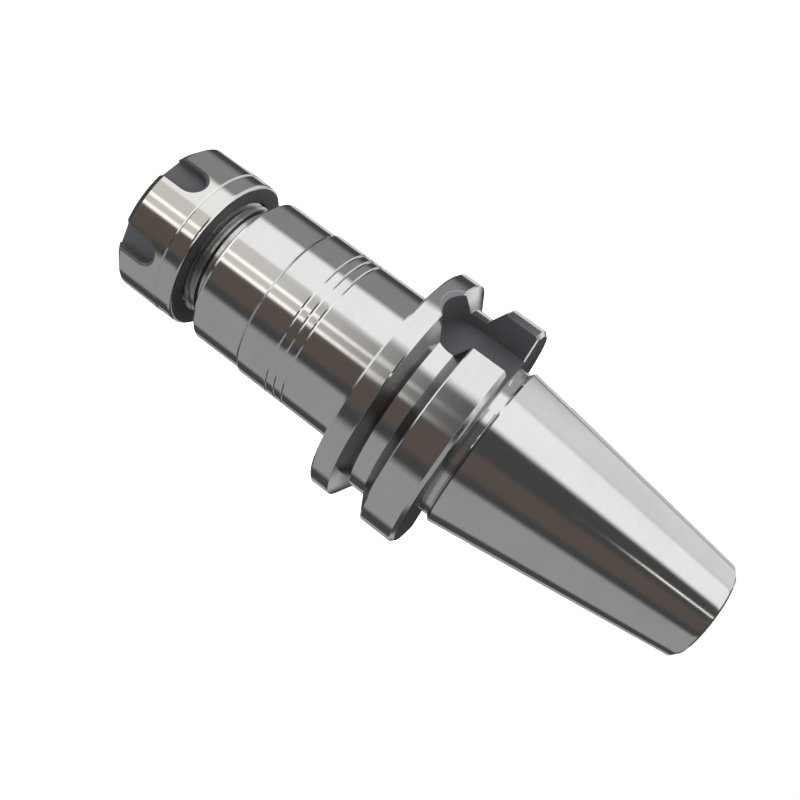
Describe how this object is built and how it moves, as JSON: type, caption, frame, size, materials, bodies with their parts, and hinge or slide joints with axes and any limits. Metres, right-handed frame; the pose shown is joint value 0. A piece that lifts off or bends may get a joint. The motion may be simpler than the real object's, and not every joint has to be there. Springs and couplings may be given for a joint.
{
  "type": "collet chuck holder",
  "caption": "Collet chuck holder for a milling spindle: 7/24 taper shank, grooved flange with drive slots, and a slotted nut that clamps a spring collet.",
  "frame": {"origin": "centre of the nut's front face, on the axis of the holder", "axes": "+Z along the axis from the nut's front face to the small end of the taper, +X through the middle of one drive slot"},
  "size_m": [0.063, 0.063, 0.1639],
  "materials": {
    "ground_steel": "ground and polished, blackened in the drive slots",
    "nut_steel": "fine turned, blackened in the spanner slots",
    "collet_steel": "ground"
  },
  "bodies": {
    "holder": {"holder_body": "ground_steel"},
    "collet": {"spring_collet": "collet_steel"},
    "nut": {"clamping_nut": "nut_steel"}
  },
  "joints": [
    {"name": "collet_slide", "type": "slide", "parent": "holder", "child": "collet", "axis": [0, 0, -1], "range_m": [0, 0.009]},
    {"name": "nut_turn", "type": "hinge", "parent": "collet", "child": "nut", "pos_m": [0, 0, 0], "axis": [0, 0, -1], "range_deg": [0, 2160]}
  ],
  "couplings": [
    {"joint": "collet_slide", "follows": "nut_turn", "m_per_rad": 0.00023873}
  ]
}
